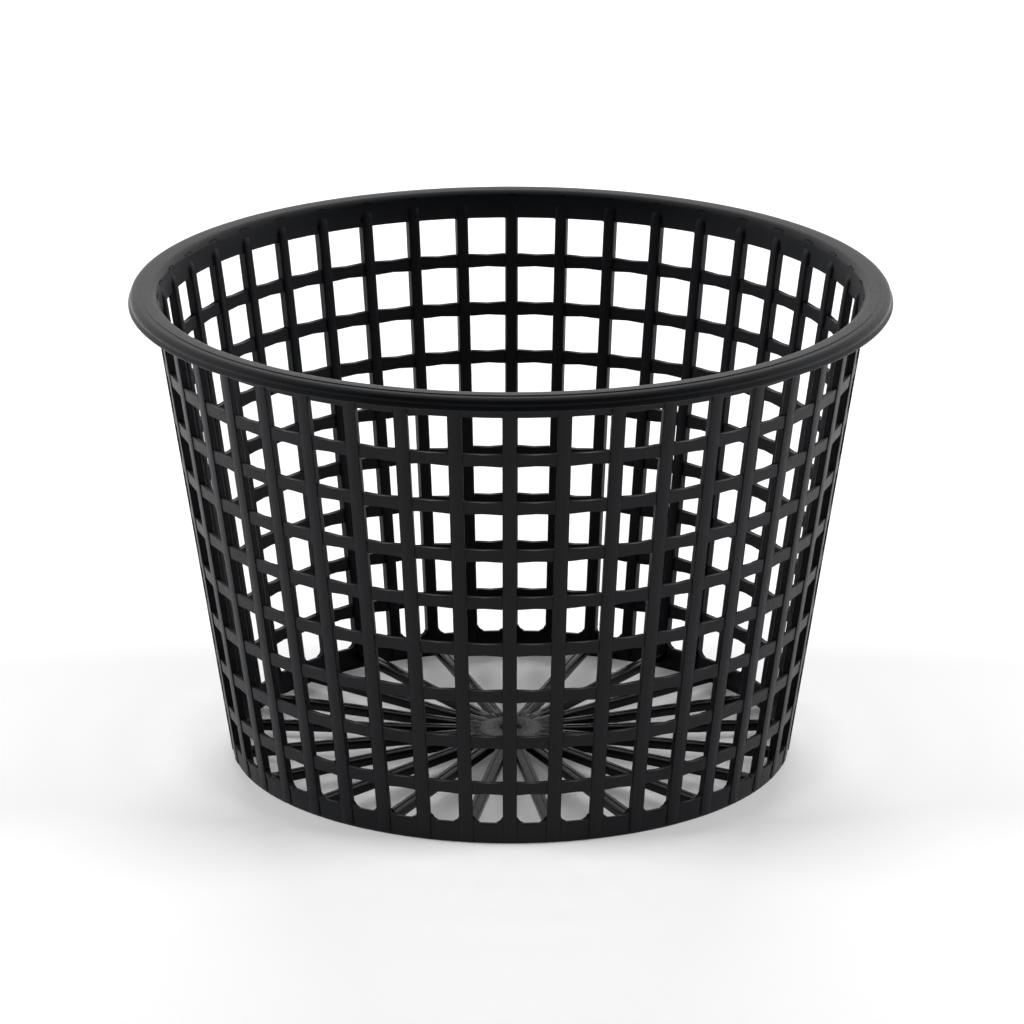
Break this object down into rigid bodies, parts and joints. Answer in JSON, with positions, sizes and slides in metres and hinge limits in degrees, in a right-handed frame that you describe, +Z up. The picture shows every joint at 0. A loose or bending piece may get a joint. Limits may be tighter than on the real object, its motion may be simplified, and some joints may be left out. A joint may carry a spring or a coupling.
{
  "type": "hydroponic net pot",
  "caption": "Round tapered basket pot with upright ribs, level rings, open square windows, a rolled rim and a spoked floor.",
  "frame": {"origin": "middle of the circle that the foot stands on", "axes": "+Z up along the pot's axis, from the foot to the rim; -Y is the front"},
  "size_m": [0.2028, 0.2028, 0.1295],
  "materials": {
    "pot": "satin black as moulded"
  },
  "bodies": {
    "root": {"net_pot": "pot"}
  },
  "joints": []
}
